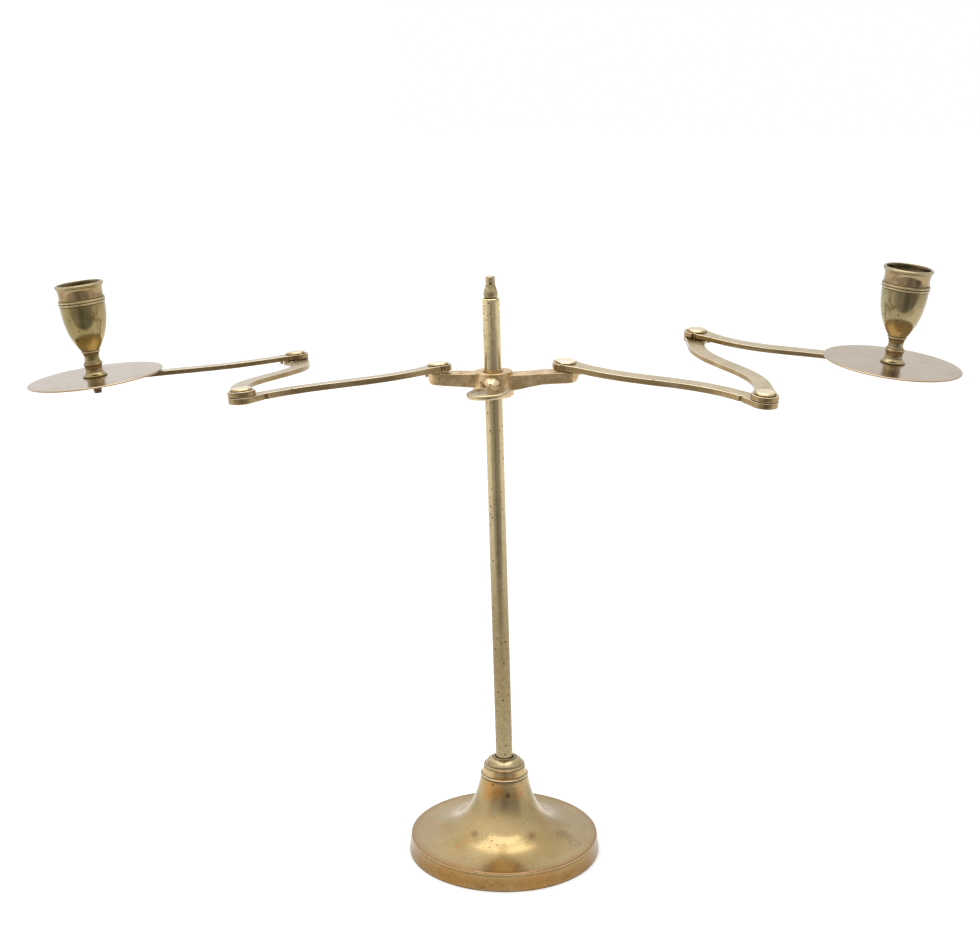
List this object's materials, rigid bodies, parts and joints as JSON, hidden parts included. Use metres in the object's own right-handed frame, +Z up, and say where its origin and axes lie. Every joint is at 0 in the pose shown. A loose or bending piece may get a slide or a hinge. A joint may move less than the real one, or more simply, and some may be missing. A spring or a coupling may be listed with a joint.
{
  "type": "tabletop candelabra",
  "caption": "Brass table candelabra: a trumpet base, a slim rod, a sliding hub with thumb screw, and jointed S-shaped arms ending in drip pans with candle cups.",
  "frame": {"origin": "centre of the underside of the base, on the table top", "axes": "+X along the outstretched arms to the right, +Y to the back, +Z up"},
  "size_m": [0.5396, 0.1367, 0.3541],
  "materials": {
    "arm_brass": "worn, pale",
    "base_brass": "aged polished, tarnished in the grooves",
    "clamp_steel": "plain, dull",
    "collar_brass": "aged polished, orange tarnish at the rings",
    "column_brass": "aged polished with dark pits",
    "cup_brass": "turned, polished with greenish tarnish",
    "hub_brass": "cast, worn",
    "pan_brass": "thin sheet, dull polish",
    "pivot_brass": "bright, worn",
    "screw_brass": "turned, worn bright",
    "stud_steel": "dark, threaded"
  },
  "bodies": {
    "base": {"base_shell": "base_brass", "base_skirt": "base_brass", "base_collar": "collar_brass", "base_washer": "clamp_steel"},
    "column": {"column_rod": "column_brass", "rod_finial": "column_brass", "base_nut": "clamp_steel"},
    "hub": {"hub_slider": "hub_brass", "right_pivot_inner": "pivot_brass", "right_washer_inner": "pivot_brass", "left_pivot_inner": "pivot_brass", "left_washer_inner": "pivot_brass"},
    "thumb_screw": {"thumb_screw": "screw_brass"},
    "right_inner_arm": {"right_arm_inner": "arm_brass", "right_pivot_middle": "pivot_brass", "right_washer_middle": "pivot_brass", "right_stop_inner": "pivot_brass"},
    "right_middle_arm": {"right_arm_middle": "arm_brass", "right_pivot_outer": "pivot_brass", "right_washer_outer": "pivot_brass", "right_stop_middle": "pivot_brass"},
    "right_outer_arm": {"right_arm_outer": "arm_brass", "right_stop_outer": "pivot_brass", "right_drip_pan": "pan_brass", "right_candle_cup": "cup_brass", "right_cup_stud": "stud_steel"},
    "left_inner_arm": {"left_arm_inner": "arm_brass", "left_pivot_middle": "pivot_brass", "left_washer_middle": "pivot_brass", "left_stop_inner": "pivot_brass"},
    "left_middle_arm": {"left_arm_middle": "arm_brass", "left_pivot_outer": "pivot_brass", "left_washer_outer": "pivot_brass", "left_stop_middle": "pivot_brass"},
    "left_outer_arm": {"left_arm_outer": "arm_brass", "left_stop_outer": "pivot_brass", "left_drip_pan": "pan_brass", "left_candle_cup": "cup_brass", "left_cup_stud": "stud_steel"}
  },
  "joints": [
    {"name": "column_turn", "type": "hinge", "parent": "base", "child": "column", "pos_m": [0, 0, 0.0585], "axis": [-0.0297, 0, 0.9996], "range_deg": [-180, 180]},
    {"name": "hub_slide", "type": "slide", "parent": "column", "child": "hub", "axis": [-0.0297, 0, 0.9996], "range_m": [-0.218, 0.038]},
    {"name": "thumb_screw_turn", "type": "hinge", "parent": "hub", "child": "thumb_screw", "pos_m": [-0.0068, 0, 0.2877], "axis": [-0.0958, -0.9954, -0.0028], "range_deg": [0, 540]},
    {"name": "right_inner_swing", "type": "hinge", "parent": "hub", "child": "right_inner_arm", "pos_m": [0.03421, 0, 0.29792], "axis": [-0.0539, 0.0889, -0.9946], "range_deg": [-102, 77]},
    {"name": "right_middle_swing", "type": "hinge", "parent": "right_inner_arm", "child": "right_middle_arm", "pos_m": [0.13875, -0.0544, 0.29096], "axis": [-0.0539, 0.0889, -0.9946], "range_deg": [-4, 186]},
    {"name": "right_outer_swing", "type": "hinge", "parent": "right_middle_arm", "child": "right_outer_arm", "pos_m": [0.11518, 0.06031, 0.30576], "axis": [-0.0539, 0.0889, -0.9946], "range_deg": [-175, 6]},
    {"name": "left_inner_swing", "type": "hinge", "parent": "hub", "child": "left_inner_arm", "pos_m": [-0.03787, 0, 0.29638], "axis": [-0.0922, 0.0523, 0.9944], "range_deg": [-148, 87]},
    {"name": "left_middle_swing", "type": "hinge", "parent": "left_inner_arm", "child": "left_middle_arm", "pos_m": [-0.14144, -0.05658, 0.29332], "axis": [-0.0922, 0.0523, 0.9944], "range_deg": [-16, 195]},
    {"name": "left_outer_swing", "type": "hinge", "parent": "left_middle_arm", "child": "left_outer_arm", "pos_m": [-0.12543, 0.06036, 0.29192], "axis": [-0.0922, 0.0523, 0.9944], "range_deg": [-160, 28]}
  ]
}
